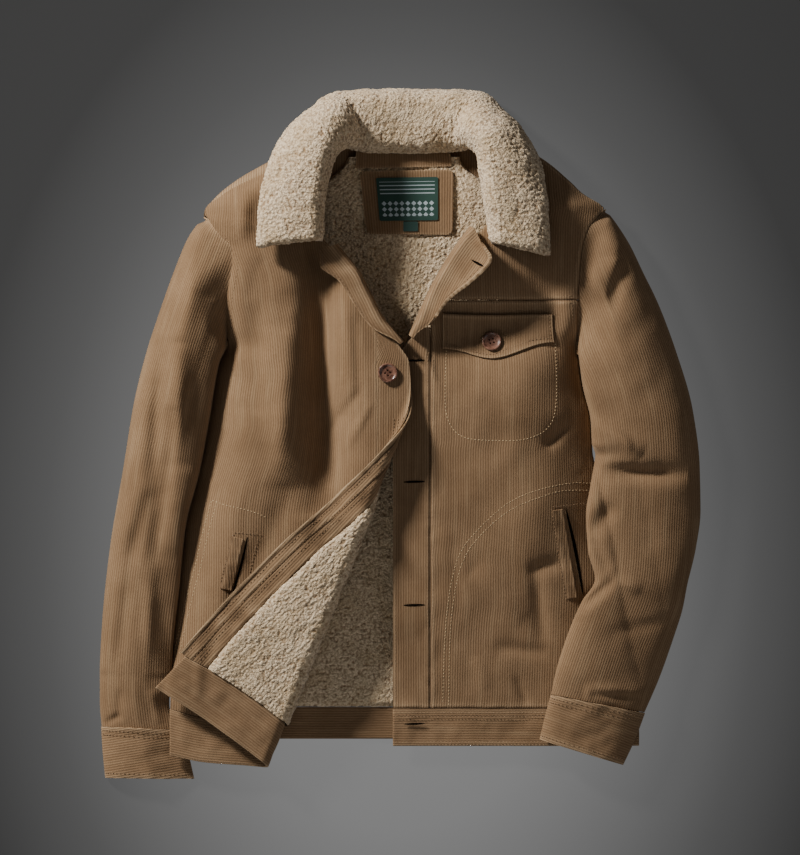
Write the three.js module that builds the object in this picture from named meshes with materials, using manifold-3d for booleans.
// Corduroy jacket with a sherpa collar and lining, laid on its back with the fronts up.
// One lower front corner is folded back over the front, so its lining shows.
// Millimetres, +Z up, +Y towards the collar, z = 0 is the surface that it lies on.
// Left and right are the wearer's: the wearer's right is at -X.
import * as THREE from 'three';
import { mergeVertices } from 'three/addons/utils/BufferGeometryUtils.js';
import Module from 'manifold-3d';

const wasm = await Module();
wasm.setup();

const CLOTH = 1.6; // corduroy shell
const BAND = 3.2; // doubled corduroy of hem bands, cuffs and lapels
const PILE = 6; // sherpa lining
const COLLAR_PILE = 8; // sherpa of the collar
const SEAM = 0.3; // between two pieces that are sewn together
const SKIN = 0.15; // from the middle surface of a panel to each of its two layers
const BUTTON = { across: 21.5, thick: 3.6, rim: 2.2, hole: 1.9, spread: 5, pitch: 135.5 };
const STEP = 0.4; // for slopes

// The lie of the wearer's right front, by level: side edge, front edge and height.
// rise is how far in from the side edge the cloth has come up to its full height.
const RIGHT = [
  { y: -460, side: -259, sideZ: 17, rise: 60, crown: 17, front: 4, frontZ: 16 },
  { y: -362, side: -259, sideZ: 17, rise: 60, crown: 17, front: 13, frontZ: 16 },
  { y: -305, side: -257, sideZ: 15.5, rise: 60, crown: 20, front: 19, frontZ: 18 },
  { y: -240, side: -254, sideZ: 2.6, rise: 60, crown: 27, front: 22, frontZ: 22 },
  { y: -175, side: -247, sideZ: 2.3, rise: 60, crown: 32, front: 20, frontZ: 27 },
  { y: -107, side: -240, sideZ: 2.3, rise: 60, crown: 37, front: 13, frontZ: 33 },
  { y: -43, side: -224, sideZ: 2.3, rise: 60, crown: 41, front: 11, frontZ: 39 },
  { y: 15, side: -213, sideZ: 2.3, rise: 60, crown: 44, front: 13, frontZ: 42 },
  { y: 78, side: -202, sideZ: 2.3, rise: 60, crown: 46, front: 10, frontZ: 44 },
  { y: 98, side: -194, sideZ: 3, rise: 60, crown: 46, front: -2, frontZ: 44 },
  { y: 118, side: -193, sideZ: 16, rise: 60, crown: 46, front: -19, frontZ: 44 },
  { y: 150, side: -193, sideZ: 27, rise: 60, crown: 46, front: -40, frontZ: 43 },
  { y: 192, side: -187, sideZ: 32, rise: 60, crown: 45, front: -64, frontZ: 42 },
  { y: 208, side: -188, sideZ: 32, rise: 60, crown: 44, front: -77, frontZ: 41 },
  { y: 220, side: -200, sideZ: 30, rise: 60, crown: 43, front: -88, frontZ: 38 },
  { y: 236, side: -211, sideZ: 27, rise: 60, crown: 42, front: -93, frontZ: 36 },
  { y: 250, side: -216, sideZ: 18.5, rise: 55, crown: 40, front: -96, frontZ: 34 },
  { y: 266, side: -200, sideZ: 19.5, rise: 45, crown: 37, front: -92, frontZ: 32 },
  { y: 279, side: -177, sideZ: 21.5, rise: 40, crown: 34, front: -88, frontZ: 30 },
  { y: 295, side: -141, sideZ: 22.3, rise: 35, crown: 30, front: -84, frontZ: 28 },
  { y: 312, side: -104, sideZ: 22.3, rise: 30, crown: 26, front: -82, frontZ: 25 },
];

// The same for the wearer's left front, whose side edge is under the sleeve.
const LEFT = [
  { y: -460, side: 268, sideZ: 5.5, rise: 110, crown: 13, front: -8, frontZ: 13 },
  { y: -351, side: 268, sideZ: 5.5, rise: 110, crown: 13, front: -8, frontZ: 13 },
  { y: -309, side: 272, sideZ: 5.5, rise: 110, crown: 15, front: -8, frontZ: 14 },
  { y: -244, side: 259, sideZ: 2.3, rise: 110, crown: 21, front: -8, frontZ: 20 },
  { y: -188, side: 249, sideZ: 2.3, rise: 110, crown: 26, front: -8, frontZ: 25 },
  { y: -132, side: 240, sideZ: 2.3, rise: 110, crown: 30, front: -8, frontZ: 28 },
  { y: -76, side: 227, sideZ: 2.3, rise: 105, crown: 33, front: -8, frontZ: 31 },
  { y: -20, side: 215, sideZ: 2.3, rise: 100, crown: 36, front: -8, frontZ: 32 },
  { y: 14, side: 213, sideZ: 2.3, rise: 90, crown: 38, front: -8, frontZ: 33 },
  { y: 53, side: 204, sideZ: 2.3, rise: 80, crown: 40, front: -8, frontZ: 33 },
  { y: 79, side: 200.5, sideZ: 2.3, rise: 70, crown: 41, front: -6, frontZ: 33 },
  { y: 98, side: 198.5, sideZ: 3, rise: 65, crown: 42, front: 6, frontZ: 34 },
  { y: 118, side: 198.5, sideZ: 16, rise: 60, crown: 43, front: 22, frontZ: 36 },
  { y: 150, side: 199, sideZ: 27, rise: 60, crown: 43, front: 39, frontZ: 38 },
  { y: 180, side: 201, sideZ: 32, rise: 60, crown: 43, front: 56, frontZ: 39 },
  { y: 208, side: 204, sideZ: 33, rise: 60, crown: 43, front: 74, frontZ: 39 },
  { y: 231, side: 212, sideZ: 30, rise: 60, crown: 42, front: 95, frontZ: 37 },
  { y: 240, side: 219, sideZ: 27, rise: 60, crown: 41, front: 100, frontZ: 36 },
  { y: 252, side: 225, sideZ: 21, rise: 55, crown: 40, front: 104, frontZ: 34 },
  { y: 266, side: 208, sideZ: 21, rise: 45, crown: 37, front: 102, frontZ: 32 },
  { y: 285, side: 187, sideZ: 21, rise: 40, crown: 33, front: 98, frontZ: 30 },
  { y: 307, side: 159, sideZ: 21, rise: 35, crown: 28, front: 94, frontZ: 26 },
  { y: 319, side: 137, sideZ: 21, rise: 30, crown: 25, front: 92, frontZ: 24 },
];

// Where the hem band of the right front starts and ends, by place across the cloth.
const RIGHT_HEM = [
  { x: -259, seam: -309, bottom: -361 },
  { x: -220, seam: -319, bottom: -369 },
  { x: -170, seam: -325, bottom: -373 },
  { x: -110, seam: -328, bottom: -379 },
  { x: -50, seam: -335, bottom: -387 },
  { x: 12, seam: -350, bottom: -399 },
];
const LEFT_HEM = { seam: -308.6, bottom: -351 };
const BACK_HEM = { seam: -307.5, bottom: -343.3 };

// The fold of the lower right front: the line where the roll starts, its direction and its radius.
const FOLD = { x: -6.5, y: 7.6, lean: 21.8, radius: 9 };

const PLACKET = { right: 38, left: 41.6 }; // width at the front edge
const FACING = { edge: 17, inner: 34 }; // from the front edge, on the folded corner
const PLACKET_TOP = { right: 132, left: 122 };
const YOKE_SEAM = 149;

// The back's outline at the shoulders, where the roll starts, from armhole to armhole.
// turn is how far the cloth rolls over, in degrees.
const SHOULDER_ROLL = 12; // radius
const BACK_TOP = [
  { u: 0, x: -211, y: 236, turn: 130 },
  { u: 0.09, x: -199, y: 255, turn: 135 },
  { u: 0.2, x: -179, y: 272, turn: 158 },
  { u: 0.33, x: -142, y: 294, turn: 170 },
  { u: 0.4, x: -100, y: 313, turn: 160 },
  { u: 0.45, x: -62, y: 317, turn: 35 },
  { u: 0.52, x: 9, y: 313, turn: 35 },
  { u: 0.59, x: 80, y: 317, turn: 35 },
  { u: 0.64, x: 118, y: 318, turn: 148 },
  { u: 0.72, x: 154, y: 301, turn: 148 },
  { u: 0.83, x: 182, y: 279, turn: 148 },
  { u: 0.93, x: 203, y: 258, turn: 148 },
  { u: 1, x: 219, y: 240, turn: 148 },
];

// Collar, from the wearer's right tip round the neck to the left tip: the neck seam,
// the top of the roll and the outer edge at each station.
const COLLAR = [
  { at: 0, nx: -88, ny: 214, nz: 43.2, tx: -101, ty: 214, tz: 66, ex: -157, ey: 207, ez: 54 },
  { at: 1, nx: -88, ny: 252, nz: 40, tx: -101, ty: 252, tz: 67, ex: -154, ey: 250, ez: 50 },
  { at: 2, nx: -83, ny: 288, nz: 34, tx: -96, ty: 292, tz: 67, ex: -147, ey: 284, ez: 42 },
  { at: 3, nx: -74, ny: 312, nz: 27, tx: -86, ty: 326, tz: 64, ex: -126, ey: 330, ez: 30 },
  { at: 4, nx: -60, ny: 320, nz: 18, tx: -69, ty: 350, tz: 58, ex: -97, ey: 358, ez: 15 },
  { at: 5, nx: -42, ny: 322, nz: 14, tx: -46, ty: 361, tz: 52, ex: -66, ey: 373, ez: 5 },
  { at: 6, nx: 9, ny: 322, nz: 13, tx: 9, ty: 364, tz: 49, ex: 9, ey: 377, ez: 3 },
  { at: 7, nx: 60, ny: 322, nz: 14, tx: 65, ty: 361, tz: 52, ex: 86, ey: 373, ez: 5 },
  { at: 8, nx: 78, ny: 320, nz: 18, tx: 88, ty: 349, tz: 58, ex: 115, ey: 353, ez: 15 },
  { at: 9, nx: 89, ny: 312, nz: 27, tx: 101, ty: 326, tz: 64, ex: 140, ey: 325, ez: 30 },
  { at: 10, nx: 93, ny: 288, nz: 34, tx: 106, ty: 292, tz: 67, ex: 156, ey: 288, ez: 42 },
  { at: 11, nx: 98, ny: 252, nz: 40, tx: 112, ty: 252, tz: 67, ex: 161, ey: 250, ez: 50 },
  { at: 12, nx: 104, ny: 212, nz: 42, tx: 118, ty: 209, tz: 66, ex: 165, ey: 197, ez: 54 },
];

// Lapels: the lower inner edge, the roll and the free edge, from the front opening upwards
// on the wearer's right and downwards on the left.
const LAPEL_RIGHT = [
  { at: 0, nx: 3, ny: 101, nz: 46, tx: 0, ty: 99, tz: 50, ex: -9, ey: 91, ez: 46.2 },
  { at: 1, nx: -20, ny: 129, nz: 43, tx: -25, ty: 126, tz: 52, ex: -33, ey: 120, ez: 46.3 },
  { at: 2, nx: -33, ny: 154, nz: 42, tx: -38, ty: 151, tz: 54, ex: -50, ey: 144, ez: 45.8 },
  { at: 3, nx: -46, ny: 179, nz: 42, tx: -51, ty: 177, tz: 56, ex: -68, ey: 171, ez: 46.4 },
  { at: 4, nx: -60, ny: 197, nz: 42, tx: -65, ty: 195, tz: 57, ex: -88, ey: 188, ez: 45.5 },
  { at: 5, nx: -71, ny: 210, nz: 42, tx: -76, ty: 209, tz: 57, ex: -88, ey: 207, ez: 45.5 },
];
const LAPEL_LEFT = [
  { at: 0, nx: 79, ny: 230, nz: 38, tx: 83, ty: 227, tz: 52, ex: 94, ey: 207, ez: 43 },
  { at: 1, nx: 66, ny: 213, nz: 37, tx: 71, ty: 210, tz: 54, ex: 101, ey: 193, ez: 43.4 },
  { at: 2, nx: 50, ny: 189, nz: 37, tx: 55, ty: 186, tz: 53, ex: 78, ey: 168, ez: 42.2 },
  { at: 3, nx: 35, ny: 162, nz: 36, tx: 40, ty: 159, tz: 51, ex: 56, ey: 151, ez: 41.2 },
  { at: 4, nx: 22, ny: 134, nz: 35, tx: 27, ty: 131, tz: 47, ex: 37, ey: 126, ez: 39.4 },
  { at: 5, nx: 11, ny: 109, nz: 34, tx: 15, ty: 106, tz: 42, ex: 24, ey: 101, ez: 37.4 },
];

// Sleeves, from the armhole to the wrist: outer edge, inner edge, height and the power
// that rounds the inner half.
const SLEEVE_RIGHT = [
  { at: 0, ox: -222, oy: 241, ix: -194, iy: 101, high: 34, round: 2 },
  { at: 1, ox: -237, oy: 220, ix: -198, iy: 88, high: 44, round: 2 },
  { at: 2, ox: -254, oy: 180, ix: -204, iy: 66, high: 48, round: 2 },
  { at: 3, ox: -271, oy: 132, ix: -210, iy: 42, high: 49, round: 2 },
  { at: 4, ox: -284, oy: 92, ix: -214, iy: 17, high: 48, round: 2 },
  { at: 5, ox: -298, oy: 36, ix: -220, iy: -12, high: 45, round: 2 },
  { at: 6, ox: -311, oy: -43, ix: -231, iy: -66, high: 41, round: 2 },
  { at: 7, ox: -325, oy: -126, ix: -244, iy: -138, high: 35, round: 2 },
  { at: 8, ox: -334, oy: -210, ix: -253, iy: -214, high: 28, round: 1.8 },
  { at: 9, ox: -337, oy: -270, ix: -259, iy: -274, high: 22, round: 1.5 },
  { at: 10, ox: -337, oy: -302, ix: -259, iy: -305, high: 19, round: 1.2 },
  { at: 11, ox: -335, oy: -329, ix: -247, iy: -333, high: 17, round: 1.1 },
];
const CUFF_RIGHT = [
  { at: 0, ox: -335.5, oy: -329.5, ix: -246, iy: -333.5, high: 19, round: 1.1 },
  { at: 1, ox: -334, oy: -356, ix: -238, iy: -358, high: 18, round: 1.1 },
  { at: 2, ox: -331, oy: -387, ix: -231, iy: -388, high: 17, round: 1.1 },
];
const SLEEVE_LEFT = [
  { at: 0, ox: 231, oy: 250, ix: 199, iy: 100, high: 34, round: 2 },
  { at: 1, ox: 243, oy: 234, ix: 201.5, iy: 81, high: 44, round: 2 },
  { at: 2, ox: 257, oy: 212, ix: 205, iy: 55, high: 48, round: 2 },
  { at: 3, ox: 273, oy: 179, ix: 211, iy: 31, high: 49, round: 2 },
  { at: 4, ox: 289, oy: 146, ix: 217, iy: 12, high: 48, round: 2 },
  { at: 5, ox: 310, oy: 90, ix: 220, iy: -6, high: 46, round: 2 },
  { at: 6, ox: 328, oy: 27, ix: 219, iy: -24, high: 43, round: 2 },
  { at: 7, ox: 336, oy: -36, ix: 213, iy: -59, high: 39, round: 2 },
  { at: 8, ox: 337, oy: -87, ix: 208, iy: -92, high: 36, round: 2 },
  { at: 9, ox: 332, oy: -128, ix: 210, iy: -130, high: 34, round: 2 },
  { at: 10, ox: 322, oy: -171, ix: 218, iy: -163, high: 33, round: 2 },
  { at: 11, ox: 317, oy: -197, ix: 203, iy: -189, high: 32, round: 2 },
  { at: 12, ox: 307, oy: -229, ix: 189, iy: -221, high: 30, round: 2 },
  { at: 13, ox: 291, oy: -274, ix: 175, iy: -264, high: 26, round: 2 },
  { at: 14, ox: 274, oy: -313, ix: 169, iy: -292, high: 22, round: 2 },
];
const CUFF_LEFT = [
  { at: 0, ox: 274.5, oy: -314, ix: 168.5, iy: -293, high: 24, round: 2 },
  { at: 1, ox: 264, oy: -342, ix: 162, iy: -318, high: 22, round: 2 },
  { at: 2, ox: 250, oy: -372, ix: 156, iy: -343, high: 20, round: 2 },
];

// Folds: soft ridges (rise > 0) and troughs (rise < 0) along straight stretches.
const FOLDS = [
  { x0: -219, y0: 230, x1: -247, y1: 100, rise: 5, wide: 13 },
  { x0: -247, y0: 100, x1: -247, y1: -36, rise: 6, wide: 12 },
  { x0: -247, y0: -36, x1: -255, y1: -135, rise: 5, wide: 11 },
  { x0: -263, y0: 108, x1: -280, y1: -63, rise: -5, wide: 10 },
  { x0: -280, y0: -63, x1: -304, y1: -150, rise: -4, wide: 10 },
  { x0: -86, y0: 175, x1: -88, y1: 0, rise: -9, wide: 15 },
  { x0: -72, y0: 170, x1: -70, y1: 40, rise: 4, wide: 8 },
  { x0: -176, y0: 277, x1: -176, y1: 215, rise: 4, wide: 9 },
  { x0: -130, y0: 160, x1: -135, y1: 20, rise: -3, wide: 14 },
  { x0: 232, y0: 248, x1: 239, y1: 198, rise: 5, wide: 10 },
  { x0: 239, y0: 198, x1: 203, y1: 140, rise: 5, wide: 10 },
  { x0: 253, y0: 190, x1: 233, y1: 136, rise: -5, wide: 10 },
  { x0: 219, y0: 9, x1: 270, y1: -24, rise: 5, wide: 10 },
  { x0: 226, y0: -42, x1: 322, y1: -46, rise: -7, wide: 10 },
  { x0: 238, y0: -79, x1: 213, y1: -114, rise: -5, wide: 10 },
  { x0: 205, y0: -292, x1: 280, y1: -294, rise: 3, wide: 9 },
  { x0: 196, y0: 90, x1: 200, y1: -15, rise: -4, wide: 12 },
  { x0: 189, y0: 14, x1: 161, y1: -18, rise: -3, wide: 9 },
];

// Materials: colour, roughness.
const CORDUROY = new THREE.MeshStandardMaterial({ color: 0x7a5a38, roughness: 0.9, metalness: 0 });
const SHERPA = new THREE.MeshStandardMaterial({ color: 0xc2ab84, roughness: 1, metalness: 0 });
const WOVEN = new THREE.MeshStandardMaterial({ color: 0x17382f, roughness: 0.8, metalness: 0 });
const HORN = new THREE.MeshStandardMaterial({ color: 0x4a2418, roughness: 0.3, metalness: 0 });

const clamp = THREE.MathUtils.clamp;
const smooth = (t) => THREE.MathUtils.smoothstep(t, 0, 1);
const lerp = THREE.MathUtils.lerp;

// Reads a table at any place along its key column. The curve through each column has no overshoot.
function reader(table, key) {
  const place = table.map((row) => row[key]);
  const columns = Object.keys(table[0]).filter((name) => name !== key);
  const slopes = {};
  for (const name of columns) {
    const rate = place.slice(1).map((p, i) => (table[i + 1][name] - table[i][name]) / (p - place[i]));
    slopes[name] = place.map((_, i) => {
      const before = rate[i - 1] ?? rate[i];
      const after = rate[i] ?? rate[i - 1];
      return before * after > 0 ? (2 * before * after) / (before + after) : 0;
    });
  }
  return (at) => {
    let i = 0;
    while (i < place.length - 2 && at > place[i + 1]) i += 1;
    const span = place[i + 1] - place[i];
    const t = clamp((at - place[i]) / span, 0, 1);
    const row = {};
    for (const name of columns) {
      const [a, b] = [table[i][name], table[i + 1][name]];
      const [p, q] = [slopes[name][i] * span, slopes[name][i + 1] * span];
      const twist = a - b;
      row[name] = a + t * (p + t * (-3 * twist - 2 * p - q + t * (2 * twist + p + q)));
    }
    return row;
  };
}

// Evenly spaced numbers, both ends included.
const spaced = (from, to, count) => Array.from({ length: count + 1 }, (_, i) => lerp(from, to, i / count));

// Joins a grid of outer and inner points into one closed wall.
// Around means that each row closes on itself.
function closedWall(outer, inner, around) {
  const rows = outer.length;
  const columns = outer[0].length;
  const positions = [outer, inner].flat(2).flatMap((p) => [p.x, p.y, p.z]);
  const index = [];
  const at = (side, j, i) => side * rows * columns + j * columns + (i % columns);
  const quad = (a, b, c, d) => index.push(a, b, c, a, c, d);
  const spans = around ? columns : columns - 1;
  for (let j = 0; j < rows - 1; j += 1) {
    for (let i = 0; i < spans; i += 1) {
      quad(at(0, j, i), at(0, j, i + 1), at(0, j + 1, i + 1), at(0, j + 1, i));
      quad(at(1, j, i), at(1, j + 1, i), at(1, j + 1, i + 1), at(1, j, i + 1));
    }
    if (around) continue;
    const last = columns - 1;
    quad(at(0, j, 0), at(0, j + 1, 0), at(1, j + 1, 0), at(1, j, 0));
    quad(at(0, j, last), at(1, j, last), at(1, j + 1, last), at(0, j + 1, last));
  }
  for (let i = 0; i < spans; i += 1) {
    quad(at(0, 0, i), at(1, 0, i), at(1, 0, i + 1), at(0, 0, i + 1));
    quad(at(0, rows - 1, i), at(0, rows - 1, i + 1), at(1, rows - 1, i + 1), at(1, rows - 1, i));
  }
  const geometry = new THREE.BufferGeometry();
  geometry.setAttribute('position', new THREE.Float32BufferAttribute(positions, 3));
  geometry.setIndex(index);
  return geometry;
}

// The surface's upward normal where u runs to the right and v runs up.
function normalAt(surface, u, v) {
  const along = surface(u + STEP, v).sub(surface(u - STEP, v));
  const up = surface(u, v + STEP).sub(surface(u, v - STEP));
  return along.cross(up).normalize();
}

// A cloth panel: a surface given thickness between two offsets along its normal.
function panel(surface, columnsAt, rows, low, high) {
  const point = (u, v, offset) => surface(u, v).addScaledVector(normalAt(surface, u, v), offset);
  const grid = (offset) => rows.map((v) => columnsAt(v).map((u) => point(u, v, offset)));
  return closedWall(grid(high), grid(low), false);
}

const group = new THREE.Group();

function add(name, geometry, material) {
  const mesh = new THREE.Mesh(geometry, material);
  mesh.name = name;
  group.add(mesh);
  return mesh;
}

// How far the folds lift or lower the cloth at a place.
function foldHeight(x, y) {
  let total = 0;
  for (const f of FOLDS) {
    const [dx, dy] = [f.x1 - f.x0, f.y1 - f.y0];
    const t = clamp(((x - f.x0) * dx + (y - f.y0) * dy) / (dx * dx + dy * dy), 0, 1);
    const away = Math.hypot(x - f.x0 - t * dx, y - f.y0 - t * dy) / f.wide;
    total += f.rise * Math.exp(-away * away);
  }
  return total;
}

const lieRight = reader(RIGHT, 'y');
const lieLeft = reader(LEFT, 'y');

const SIDE_FULLNESS = 0.8; // power of the curve up from the side edge, under 1 is fuller
const CROWN_REACH = 110; // from the front edge to the crown
const FOLD_FADE = 30; // folds die out towards the side edge

// Height of a front's middle surface over a place. least keeps a place off the side edge.
function frontHeight(table, x, y, least = 0) {
  const row = table(y);
  const inward = Math.max(row.side < 0 ? x - row.side : row.side - x, least);
  const fromFront = Math.abs(row.front - x);
  const up = Math.sin((clamp(inward / row.rise, 0, 1) * Math.PI) / 2) ** SIDE_FULLNESS;
  const lie = lerp(row.frontZ, row.crown, smooth(fromFront / CROWN_REACH));
  const top = lie + foldHeight(x, y) * smooth(inward / FOLD_FADE);
  return lerp(row.sideZ, top, up);
}

// Wearer's right front, with its lower corner rolled back over the fold line.
const FLAP_LEAST = 45; // the folded corner doesn't follow the side edge down
const lean = THREE.MathUtils.degToRad(FOLD.lean);
const alongFold = new THREE.Vector2(-Math.sin(lean), -Math.cos(lean));
const overFold = new THREE.Vector2(Math.cos(lean), -Math.sin(lean));

function rightCloth(x, y) {
  const from = new THREE.Vector2(x - FOLD.x, y - FOLD.y);
  const past = from.dot(overFold);
  if (past <= 0) return new THREE.Vector3(x, y, frontHeight(lieRight, x, y));
  const run = from.dot(alongFold);
  const turn = past / FOLD.radius;
  const half = turn < Math.PI;
  const across = half ? FOLD.radius * Math.sin(turn) : Math.PI * FOLD.radius - past;
  const foot = new THREE.Vector2(FOLD.x, FOLD.y).addScaledVector(alongFold, run);
  const place = foot.clone().addScaledVector(overFold, across);
  const under = half ? foot : place;
  const lift = FOLD.radius * (half ? 1 - Math.cos(turn) : 2);
  return new THREE.Vector3(place.x, place.y, frontHeight(lieRight, under.x, under.y, FLAP_LEAST) + lift);
}

const rightHem = reader(RIGHT_HEM, 'x');
const HEM_FADE = 150;

// Rows of the right front follow the hem at the bottom and are level further up.
function rightFront(x, v) {
  const start = RIGHT_HEM[0].seam;
  const drop = (rightHem(x).seam - start) * clamp(1 - (v - start) / HEM_FADE, 0, 1);
  return rightCloth(x, v + drop);
}

function rightHemBand(x, v) {
  const row = rightHem(x);
  return rightCloth(x, lerp(row.bottom, row.seam, v));
}

function leftFront(x, y) {
  return new THREE.Vector3(x, y, frontHeight(lieLeft, x, y));
}

// Where the roll starts at a level of the right front.
const foldStart = (y) => FOLD.x - (FOLD.y - y) * Math.tan(lean);
const ROLL_WIDE = (Math.PI * FOLD.radius) / Math.cos(lean);

const ROLL_MARGIN = { before: 4, after: 8 }; // least flat cloth on each side of the roll

// Columns that are close together in the roll and wide apart elsewhere.
function columnsOverFold(from, to, y, flat, roll, flap) {
  const { before, after } = ROLL_MARGIN;
  const start = clamp(foldStart(y), from + before, to - 2 * after);
  const end = clamp(start + ROLL_WIDE, start + after, to - after);
  const places = [spaced(from, start, flat), spaced(start, end, roll).slice(1)];
  return [...places.flat(), ...spaced(end, to, flap).slice(1)];
}

// Levels at which the fronts have a row of points: the body up to the yoke, and the chest.
const BODY_ROWS = [
  -309, -283, -250, -212, -172, -132, -108, -87, -66, -45,
  -24, -3, 18, 39, 60, 81, 100, 118, 134, 152,
];
const CHEST_ROWS = [174, 192, 208, 220, 236, 250, 262, 274, 288, 300, 311];
const LEFT_TOP = 318;

// At the shoulder seam a front keeps off the end of the back's roll.
const SHOULDER_TIP = { right: 236, left: 240 };
const FLARE = { right: 1.75, left: 1.15 };
const SHOULDER_GAP = 2.6;
const offShoulder = (y, tip) => SHOULDER_GAP * smooth((y - tip) / 12);

// Offsets from a middle surface to the lower and upper face of each layer.
const SHELL = [SKIN, SKIN + CLOTH];
const FACE = [-SKIN - CLOTH, -SKIN];
const FUR = [-SKIN - PILE, -SKIN];
const DOUBLE = [-BAND / 2 - SKIN, BAND / 2 + SKIN];
const start = (row) => row + SEAM / 2;
const end = (row) => row - SEAM / 2;

const PLACKET_TAPER = 55; // a placket narrows to nothing over this height
const FACING_TOP = 62;
const LINING_TOP = 10;

function rightPanels() {
  const front = (y) => lieRight(y).front;
  const taper = (y) => clamp((PLACKET_TOP.right - y) / PLACKET_TAPER, 0, 1);
  const seam = (y) => front(y) - PLACKET.right * taper(y);
  const inset = (y) => seam(y) - (y < PLACKET_TOP.right ? SEAM / 2 : 0);
  const side = (y) => lieRight(y).side + offShoulder(y, SHOULDER_TIP.right);
  const rows = [start(BODY_ROWS[0]), ...BODY_ROWS.slice(1), ...CHEST_ROWS];
  const columns = (y) => columnsOverFold(side(y), inset(y), y, 7, 5, 4);
  add('front_right', panel(rightFront, columns, rows, ...SHELL), CORDUROY);

  // The layers of the front edge share their columns, so that they keep apart in the roll.
  const { edge, inner } = FACING;
  const fromEdge = [PLACKET.right - SEAM / 2, inner, (inner + edge) / 2, edge, edge / 2, 0];
  const placketRows = rows.filter((y) => y < PLACKET_TOP.right - 3);
  const placketColumns = (y) => fromEdge.map((away) => front(y) - away * taper(y));
  add('placket_right', panel(rightFront, placketColumns, placketRows, ...SHELL), CORDUROY);

  const facingRows = placketRows.filter((y) => y < FACING_TOP);
  const awayFrom = (places) => (y) => places.map((away) => front(y) - away);
  const facingColumns = awayFrom([edge - SEAM / 2, edge / 2, 0]);
  add('facing_right', panel(rightFront, facingColumns, facingRows, ...FACE), CORDUROY);
  const stripColumns = awayFrom([inner, (inner + edge) / 2, edge + SEAM / 2]);
  add('facing_strip_right', panel(rightFront, stripColumns, facingRows, ...FACE), CORDUROY);

  // The lining starts one column before the roll.
  const liningColumns = (y) => [...columns(y).slice(6), front(y) - inner - SEAM];
  const liningRows = facingRows.filter((y) => y < LINING_TOP);
  add('front_lining_right', panel(rightFront, liningColumns, liningRows, ...FUR), SHERPA);

  const [bandFrom, bandTo, bandLevel] = [side(-340) + 0.5, 11.5, -350];
  const bandColumns = () => columnsOverFold(bandFrom, bandTo, bandLevel, 8, 6, 5);
  add('hem_band_right', panel(rightHemBand, bandColumns, spaced(0, 0.994, 4), ...DOUBLE), CORDUROY);
}

function leftPanels() {
  const front = (y) => lieLeft(y).front;
  const open = front(0);
  const inPlacket = (y) => y < PLACKET_TOP.left;
  const seam = (y) => (inPlacket(y) ? Math.max(front(y), open + PLACKET.left) : front(y));
  const side = (y) => lieLeft(y).side - offShoulder(y, SHOULDER_TIP.left);
  const columns = (y) => {
    const from = seam(y) + (inPlacket(y) ? SEAM / 2 : 0);
    return [...spaced(from, side(y) - 60, 7), ...spaced(side(y) - 44, side(y), 3)];
  };
  const bodyRows = [start(LEFT_HEM.seam), ...BODY_ROWS.slice(1, -1), end(YOKE_SEAM)];
  add('front_left', panel(leftFront, columns, bodyRows, ...SHELL), CORDUROY);

  const yokeColumns = (y) => spaced(seam(y), side(y), 9);
  const yokeRows = [start(YOKE_SEAM), ...CHEST_ROWS, LEFT_TOP];
  add('front_yoke_left', panel(leftFront, yokeColumns, yokeRows, ...SHELL), CORDUROY);

  const placketRows = [start(LEFT_HEM.seam), ...BODY_ROWS.slice(1, 13), 100, PLACKET_TOP.left - 4];
  const placketColumns = (y) => spaced(front(y), Math.max(seam(y), front(y) + 3) - SEAM / 2, 3);
  add('placket_left', panel(leftFront, placketColumns, placketRows, ...SHELL), CORDUROY);

  const bandColumns = (y) => spaced(front(y), side(y), 12);
  const bandRows = spaced(LEFT_HEM.bottom, end(LEFT_HEM.seam), 3);
  add('hem_band_left', panel(leftFront, bandColumns, bandRows, ...DOUBLE), CORDUROY);
}

// The hem corner at the wearer's right is lifted by the cuff that lies under it.
const CORNER = { lift: 11, x: -203, y: -250, across: 50, down: 55 };
function cornerLift(x, y) {
  return CORNER.lift * smooth((CORNER.x - x) / CORNER.across) * smooth((CORNER.y - y) / CORNER.down);
}

const backTop = reader(BACK_TOP, 'u');

// Back: flat on the ground, rolled up and over along the shoulders. v is 0 at the hem seam,
// 1 where the roll starts and 2 at its end.
function back(u, v) {
  const w = clamp(v, 0, 1);
  const top = backTop(clamp(u, 0, 1));
  const sideLevel = lerp(BACK_HEM.seam + SEAM / 2, BACK_TOP[0].y, w);
  const left = lieRight(sideLevel).side;
  const right = lieLeft(sideLevel).side;
  const bottomLevel = BACK_HEM.seam + SEAM / 2;
  const bottomX = lerp(lieRight(bottomLevel).side, lieLeft(bottomLevel).side, u);
  const [first, last] = [BACK_TOP[0], BACK_TOP[BACK_TOP.length - 1]];
  const cornersX = (1 - w) * bottomX + w * lerp(first.x, last.x, u);
  const x = lerp(left, right, u) + (1 - w) * bottomX + w * top.x - cornersX;
  const y = sideLevel + w * (top.y - lerp(first.y, last.y, u));
  const angle = THREE.MathUtils.degToRad(top.turn) * (v - w);
  const near = 0.02;
  const before = backTop(clamp(u - near, 0, 1));
  const after = backTop(clamp(u + near, 0, 1));
  const out = new THREE.Vector2(before.y - after.y, after.x - before.x).normalize();
  const reach = SHOULDER_ROLL * Math.sin(angle);
  const rise = SHOULDER_ROLL * (1 - Math.cos(angle));
  return new THREE.Vector3(x + out.x * reach, y + out.y * reach, rise + cornerLift(x, y));
}

function backNormal(u, v) {
  const step = 0.004;
  const along = back(Math.min(u + step, 1), v).sub(back(Math.max(u - step, 0), v));
  const up = back(u, Math.min(v + step, 2)).sub(back(u, Math.max(v - step, 0)));
  return along.cross(up).normalize();
}

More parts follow.
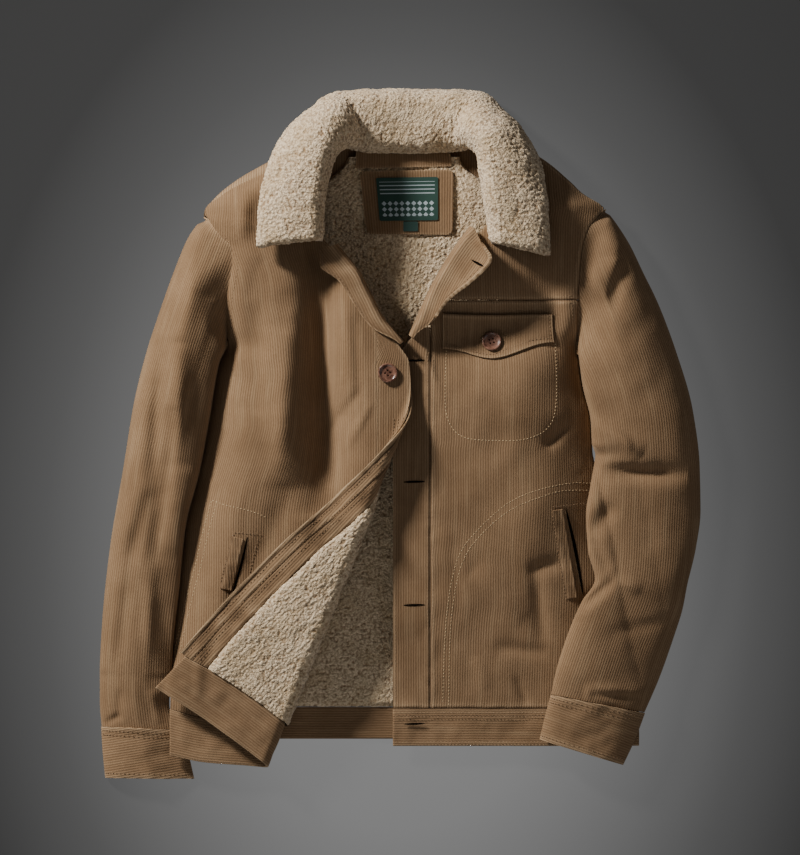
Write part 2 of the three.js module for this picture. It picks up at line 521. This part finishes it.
// Places across the back, closest together round the neck, and levels as v of back().
const BACK_COLUMNS = [
  0, 0.04, 0.09, 0.145, 0.2, 0.265, 0.33, 0.365, 0.4, 0.425, 0.45, 0.485, 0.52,
  0.555, 0.59, 0.615, 0.64, 0.68, 0.72, 0.775, 0.83, 0.88, 0.93, 0.965, 1,
];
const BACK_ROWS = [
  0, 0.06, 0.12, 0.3, 0.5, 0.68, 0.76, 0.82, 0.9,
  0.95, 0.975, 1, 1.15, 1.3, 1.45, 1.6, 1.8, 2,
];
const BACK_THICK = 1.8;
const LINING_ROWS = [-250, -190, -130, -70, -10, 50, 110, 170, 220, 250, 275, 295, 311];
const ON_BACK = BACK_THICK + 0.5; // the lining's underside

// Half the lining's width: it ends short of the sides, where the fronts come down on it.
const LINING = { middle: 4, hem: 150, chest: 118, neck: 62 };
function liningHalf(y) {
  if (y > 250) return lerp(LINING.chest, LINING.neck, smooth((y - 250) / 60));
  return lerp(LINING.hem, LINING.chest, smooth((y + 60) / 300));
}

function backPieces() {
  const point = (u, v, offset) => back(u, v).addScaledVector(backNormal(u, v), offset);
  const grid = (offset) => BACK_ROWS.map((v) => BACK_COLUMNS.map((u) => point(u, v, offset)));
  add('back', closedWall(grid(BACK_THICK), grid(0), false), CORDUROY);

  const band = (x, y) => new THREE.Vector3(x, y, cornerLift(x, y));
  const lifted = (y) => spaced(lieRight(y).side + 1, -200, 6);
  const bandColumns = (y) => [...lifted(y), ...spaced(-150, lieLeft(y).side, 6)];
  const bandRows = spaced(BACK_HEM.bottom, end(BACK_HEM.seam), 3);
  add('back_hem_band', panel(band, bandColumns, bandRows, 0, BAND), CORDUROY);

  const lining = (x, y) => new THREE.Vector3(x, y, ON_BACK);
  const sides = (y) => [LINING.middle - liningHalf(y), LINING.middle + liningHalf(y)];
  const liningRows = [start(BACK_HEM.seam), ...LINING_ROWS];
  add('back_lining', panel(lining, (y) => spaced(...sides(y), 12), liningRows, 0, PILE), SHERPA);
}

// A band turned over a roll, by a table of stations: neck seam, top of the roll and outer edge.
function turnedBand(table) {
  const read = reader(table, 'at');
  return (at, w) => {
    const r = read(clamp(at, 0, table.length - 1));
    const neck = new THREE.Vector3(r.nx, r.ny, r.nz);
    const top = new THREE.Vector3(r.tx, r.ty, r.tz);
    const edge = new THREE.Vector3(r.ex, r.ey, r.ez);
    const out = new THREE.Vector3(r.ex - r.nx, r.ey - r.ny, 0).normalize();
    const fall = Math.hypot(r.ex - r.tx, r.ey - r.ty);
    const rise = new THREE.Vector3(0, 0, 0.55 * (r.tz - r.nz));
    const drop = new THREE.Vector3(0, 0, 0.5 * (r.tz - r.ez));
    const before = top.clone().addScaledVector(out, -0.6 * Math.hypot(r.tx - r.nx, r.ty - r.ny));
    const after = top.clone().addScaledVector(out, Math.max(0.45 * fall, 0.35 * (r.tz - r.ez)));
    const first = new THREE.CubicBezierCurve3(neck, neck.clone().add(rise), before, top);
    const second = new THREE.CubicBezierCurve3(top, after, edge.clone().add(drop), edge);
    return w < 1 ? first.getPoint(Math.max(w, 0)) : second.getPoint(Math.min(w - 1, 1));
  };
}

// A turned band as a wall. Slopes are taken inside the band, so both ends keep their direction.
function bandWall(table, stations, places, low, high) {
  const surface = turnedBand(table);
  const step = 0.03;
  const last = table.length - 1;
  const normal = (at, w) => {
    const along = surface(Math.min(at + step, last), w).sub(surface(Math.max(at - step, 0), w));
    const over = surface(at, Math.min(w + step, 2)).sub(surface(at, Math.max(w - step, 0)));
    return along.cross(over).normalize();
  };
  const point = (at, w, offset) => surface(at, w).addScaledVector(normal(at, w), offset);
  const grid = (offset) => places.map((w) => stations.map((at) => point(at, w, offset)));
  return closedWall(grid(high), grid(low), false);
}

function collar() {
  const stations = spaced(0, 12, 24);
  const places = [0, 0.35, 0.7, 1, 1.2, 1.45, 1.7, 2];
  add('collar_top', bandWall(COLLAR, stations, places, SKIN, SKIN + COLLAR_PILE), SHERPA);
  add('collar_under', bandWall(COLLAR, stations, places, -SKIN - CLOTH, -SKIN), CORDUROY);
}

function lapels() {
  const places = [0, 0.5, 1, 1.4, 2];
  const stations = spaced(0, 5, 10);
  add('lapel_right', bandWall(LAPEL_RIGHT, stations, places, -BAND / 2, BAND / 2), CORDUROY);
  add('lapel_left', bandWall(LAPEL_LEFT, stations, places, -BAND / 2, BAND / 2), CORDUROY);
}

// Down to this level the left sleeve lies beside the body, and below it over the body.
const BESIDE_UNTIL = 0;
const OVER_BODY = { gap: CLOTH + 2.2, fall: 45, start: 25 };

// Lowest place for a sleeve: the ground, or the left front where the sleeve lies over it.
function groundUnderLeft(x, y) {
  if (y > BESIDE_UNTIL) return 0;
  const { gap, fall } = OVER_BODY;
  const row = lieLeft(y);
  const inward = row.side - x;
  const slope = Math.max(0, (row.sideZ + gap) * (1 + inward / fall));
  const onFront = frontHeight(lieLeft, x, Math.max(y, LEFT_HEM.bottom)) + gap;
  return (inward > 0 ? onFront : slope) * smooth((BESIDE_UNTIL - y) / OVER_BODY.start);
}

const groundUnderRight = () => 0;

// The furthest in that a sleeve may reach beside the body: the armhole and the side edge.
// Above the shoulder's tip it follows the end of the back's roll.
function besideBody(body, y) {
  const edge = body.lie(Math.min(y, body.tip)).side;
  const away = body.flare * Math.max(y - body.tip, 0) + SKIN + CLOTH + body.gap;
  return edge + Math.sign(edge) * away;
}

// Sleeve or cuff as a tube. Angle 0 is the outer edge, 180 the inner edge, the top is between them.
function sleeveTube(table, ground, body) {
  const read = reader(table, 'at');
  return (angle, at) => {
    const r = read(at);
    const c = (1 - Math.cos(angle)) / 2;
    const wide = Math.abs(2 * c - 1);
    const edge = r.round < 1.5 ? 0.2 * r.high : Math.min(9, 0.3 * r.high);
    const power = c > 0.5 ? r.round : 2;
    const top = edge + (r.high - edge) * (1 - wide ** power) ** (1 / power);
    const under = edge * (1 - Math.min(1, 1.12 * (1 - wide ** 4) ** 0.25));
    const upper = Math.sin(angle) >= 0;
    const y = lerp(r.oy, r.iy, c);
    let x = lerp(r.ox, r.ix, c);
    let z = upper ? top + foldHeight(x, y) * (1 - wide ** 2) ** 0.5 : under;
    if (body && y > body.until) {
      // The armhole draws the tube in, but its outer edge only right at the seam.
      const limit = besideBody(body, y);
      const fade = smooth(1 - at / 1.6);
      const outer = smooth(1 - at / 0.4);
      const nearer = lerp(x, limit, fade * lerp(outer, 1, smooth(c / 0.3)));
      x = limit < 0 ? Math.min(nearer, limit) : Math.max(nearer, limit);
      const want = body.lie(y).sideZ + SKIN + CLOTH;
      if (upper) z = lerp(z, want, fade * smooth(c / 0.12) * smooth((1 - c) / 0.04));
    }
    return new THREE.Vector3(x, y, z + ground(x, y));
  };
}

function tubeWall(surface, stations, thick) {
  const count = 20;
  const angles = Array.from({ length: count }, (_, i) => (i / count) * Math.PI * 2);
  const last = stations[stations.length - 1];
  const normal = (angle, at) => {
    const around = surface(angle + 0.06, at).sub(surface(angle - 0.06, at));
    const along = surface(angle, Math.min(at + 0.05, last)).sub(surface(angle, Math.max(at - 0.05, 0)));
    return around.cross(along).normalize();
  };
  const sign = Math.sign(normal(Math.PI / 2, last / 2).z);
  const inward = (angle, at, away) => surface(angle, at).addScaledVector(normal(angle, at), away);
  const grid = (away) => stations.map((at) => angles.map((angle) => inward(angle, at, away)));
  const [outer, inner] = [grid(0), grid(-sign * thick)];
  return sign > 0 ? closedWall(outer, inner, true) : closedWall(inner, outer, true);
}

// Stations with a ring of points, closer together at the armhole and at the creases.
const RIGHT_RINGS = [0, 0.5, 1, 2, 3, 4, 5, 5.6, 6.3, 7, 7.6, 8.3, 9, 10, 11];
const LEFT_RINGS = [0, 0.5, 1, 2, 3, 4, 5, 6, 7, 8, 9, 10, 11, 12, 13, 14];
const BODY_RIGHT = { lie: lieRight, tip: SHOULDER_TIP.right, flare: FLARE.right, until: -300, gap: 2 };
const BODY_LEFT = { lie: lieLeft, tip: SHOULDER_TIP.left, flare: FLARE.left, until: -26, gap: 1.5 };

function sleeves() {
  const right = sleeveTube(SLEEVE_RIGHT, groundUnderRight, BODY_RIGHT);
  const left = sleeveTube(SLEEVE_LEFT, groundUnderLeft, BODY_LEFT);
  const rightCuff = sleeveTube(CUFF_RIGHT, groundUnderRight);
  const leftCuff = sleeveTube(CUFF_LEFT, groundUnderLeft);
  add('sleeve_right', tubeWall(right, RIGHT_RINGS, CLOTH), CORDUROY);
  add('sleeve_left', tubeWall(left, LEFT_RINGS, CLOTH), CORDUROY);
  add('cuff_right', tubeWall(rightCuff, [0, 1, 2], BAND), CORDUROY);
  add('cuff_left', tubeWall(leftCuff, [0, 1, 2], BAND), CORDUROY);
}

// A flat plate with rounded corners.
function plate(corners, round, low, thick) {
  const shape = new THREE.Shape();
  const count = corners.length;
  corners.forEach(([x, y], i) => {
    const towards = ([px, py]) => new THREE.Vector2(px - x, py - y).setLength(round);
    const before = towards(corners[(i + count - 1) % count]);
    const after = towards(corners[(i + 1) % count]);
    if (i === 0) shape.moveTo(x + before.x, y + before.y);
    else shape.lineTo(x + before.x, y + before.y);
    shape.quadraticCurveTo(x, y, x + after.x, y + after.y);
  });
  const options = { depth: thick, bevelEnabled: false, curveSegments: 3 };
  return new THREE.ExtrudeGeometry(shape, options).translate(0, 0, low);
}

// Flat pieces inside the neck, on the back lining.
const STRIP = [[-50, 296.5], [58, 299], [56, 317], [-49, 317]];
const PATCH = [[-45, 293], [-40, 250], [-38, 223], [59, 222], [60, 295.5]];
const LABEL = [[-23, 237.5], [42.5, 238.5], [42.5, 287], [-27, 286]];
const TAB = [[3.5, 226], [20, 226], [20, 237], [3.5, 237]];
const WOVEN_THICK = 0.8;

function neckPieces() {
  const onLining = ON_BACK + PILE + SEAM;
  const onPatch = onLining + CLOTH + SEAM;
  add('neck_strip', plate(STRIP, 1, onLining, CLOTH), CORDUROY);
  add('label_patch', plate(PATCH, 7, onLining, CLOTH), CORDUROY);
  add('woven_label', plate(LABEL, 1, onPatch, WOVEN_THICK), WOVEN);
  add('size_tab', plate(TAB, 0.6, onPatch, WOVEN_THICK), WOVEN);
}

// Merged vertices, so that the geometry can be cut.
function solidOf(geometry) {
  const bare = geometry.clone();
  bare.deleteAttribute('normal');
  bare.deleteAttribute('uv');
  const merged = mergeVertices(bare, 1e-4);
  return new wasm.Manifold(new wasm.Mesh({
    numProp: 3,
    vertProperties: merged.attributes.position.array,
    triVerts: new Uint32Array(merged.index.array),
  }));
}

function geometryOf(solid) {
  const mesh = solid.getMesh();
  const geometry = new THREE.BufferGeometry();
  geometry.setAttribute('position', new THREE.BufferAttribute(mesh.vertProperties, 3));
  geometry.setIndex(new THREE.BufferAttribute(mesh.triVerts, 1));
  return geometry;
}

// A four-hole button: a dished disc with a raised rim, its back at z = 0.
function buttonGeometry() {
  const r = BUTTON.across / 2;
  const { thick, rim, hole, spread } = BUTTON;
  const dish = thick - 1.3;
  const profile = [
    [0, 0],
    [r - 1.2, 0],
    [r, 1.4],
    [r - 0.7, thick - 0.4],
    [r - 1.6, thick],
    [r - rim - 1, dish],
    [0, dish],
  ].map(([x, z]) => new THREE.Vector2(x, z));
  let solid = solidOf(new THREE.LatheGeometry(profile, 16).rotateX(Math.PI / 2));
  for (const [x, y] of [[1, 1], [1, -1], [-1, 1], [-1, -1]]) {
    const drill = new THREE.CylinderGeometry(hole / 2, hole / 2, 12, 5).rotateX(Math.PI / 2);
    drill.translate((x * spread) / 2, (y * spread) / 2, 0);
    solid = solid.subtract(solidOf(drill));
  }
  return geometryOf(solid);
}

// Chest pocket flap: straight at the top, two lower corners and a point between them.
const FLAP = { left: 47, right: 172, top: 135, point: 103, pointLow: 82, leftLow: 94, rightLow: 101 };
const FLAP_LAYER = [SKIN + CLOTH + 2 * SEAM, SKIN + 2.6 * CLOTH + SEAM];

function flapBottom(x) {
  const { left, right, point, pointLow, leftLow, rightLow } = FLAP;
  if (x < point) return lerp(leftLow, pointLow, smooth((x - left) / (point - left)));
  return lerp(pointLow, rightLow, smooth((x - point) / (right - point)));
}

function pocketFlap() {
  const topAt = (x) => FLAP.top - (x - FLAP.left) * 0.01;
  const surface = (x, v) => leftFront(x, lerp(flapBottom(x), topAt(x), v));
  const columns = () => spaced(FLAP.left, FLAP.right, 10);
  add('pocket_flap', panel(surface, columns, spaced(0, 1, 4), ...FLAP_LAYER), CORDUROY);
}

// Welts, each a strip beside its slit: both ends of the strip's edge and its width.
const WELT_LAYER = [SKIN + CLOTH + SEAM, SKIN + 2 * CLOTH + SEAM];

function welt(name, surface, bottom, top, wide) {
  const place = (u, v) => surface(lerp(bottom.x, top.x, v) + u, lerp(bottom.y, top.y, v));
  add(name, panel(place, () => spaced(0, wide, 2), spaced(0, 1, 6), ...WELT_LAYER), CORDUROY);
}

// Front buttons are one pitch apart on the right placket, and the second one shows.
const SECOND_BUTTON = { y: 67, fromEdge: 25 };
const ON_PLACKET = SKIN + CLOTH + SEAM + 0.2;
const ON_FLAP = FLAP_LAYER[1] + SEAM;

function buttonOn(name, surface, x, y, away) {
  const mesh = add(name, buttonGeometry(), HORN);
  const normal = normalAt(surface, x, y);
  mesh.position.copy(surface(x, y).addScaledVector(normal, away));
  mesh.quaternion.setFromUnitVectors(new THREE.Vector3(0, 0, 1), normal);
}

// The fifth button is in the hem band, where rows don't follow the hem any more.
function frontButton(number, surface) {
  const y = SECOND_BUTTON.y - (number - 2) * BUTTON.pitch;
  buttonOn(`button_${number}`, surface, lieRight(y).front - SECOND_BUTTON.fromEdge, y, ON_PLACKET);
}

function trim() {
  pocketFlap();
  welt('welt_left', leftFront, { x: 192, y: -185 }, { x: 175, y: -86 }, 11.5);
  welt('welt_right', rightFront, { x: -195, y: -175 }, { x: -181, y: -117 }, 12);
  buttonOn('pocket_button', leftFront, 103, 100.5, ON_FLAP);
  frontButton(2, rightFront);
  frontButton(4, rightFront);
  frontButton(5, rightCloth);
}

rightPanels();
leftPanels();
backPieces();
collar();
lapels();
sleeves();
neckPieces();
trim();

// The origin is at the middle of the outline, on the ground.
const bounds = new THREE.Box3().setFromObject(group);
const middle = bounds.getCenter(new THREE.Vector3());
group.position.set(-middle.x, -middle.y, 0);

export default group;
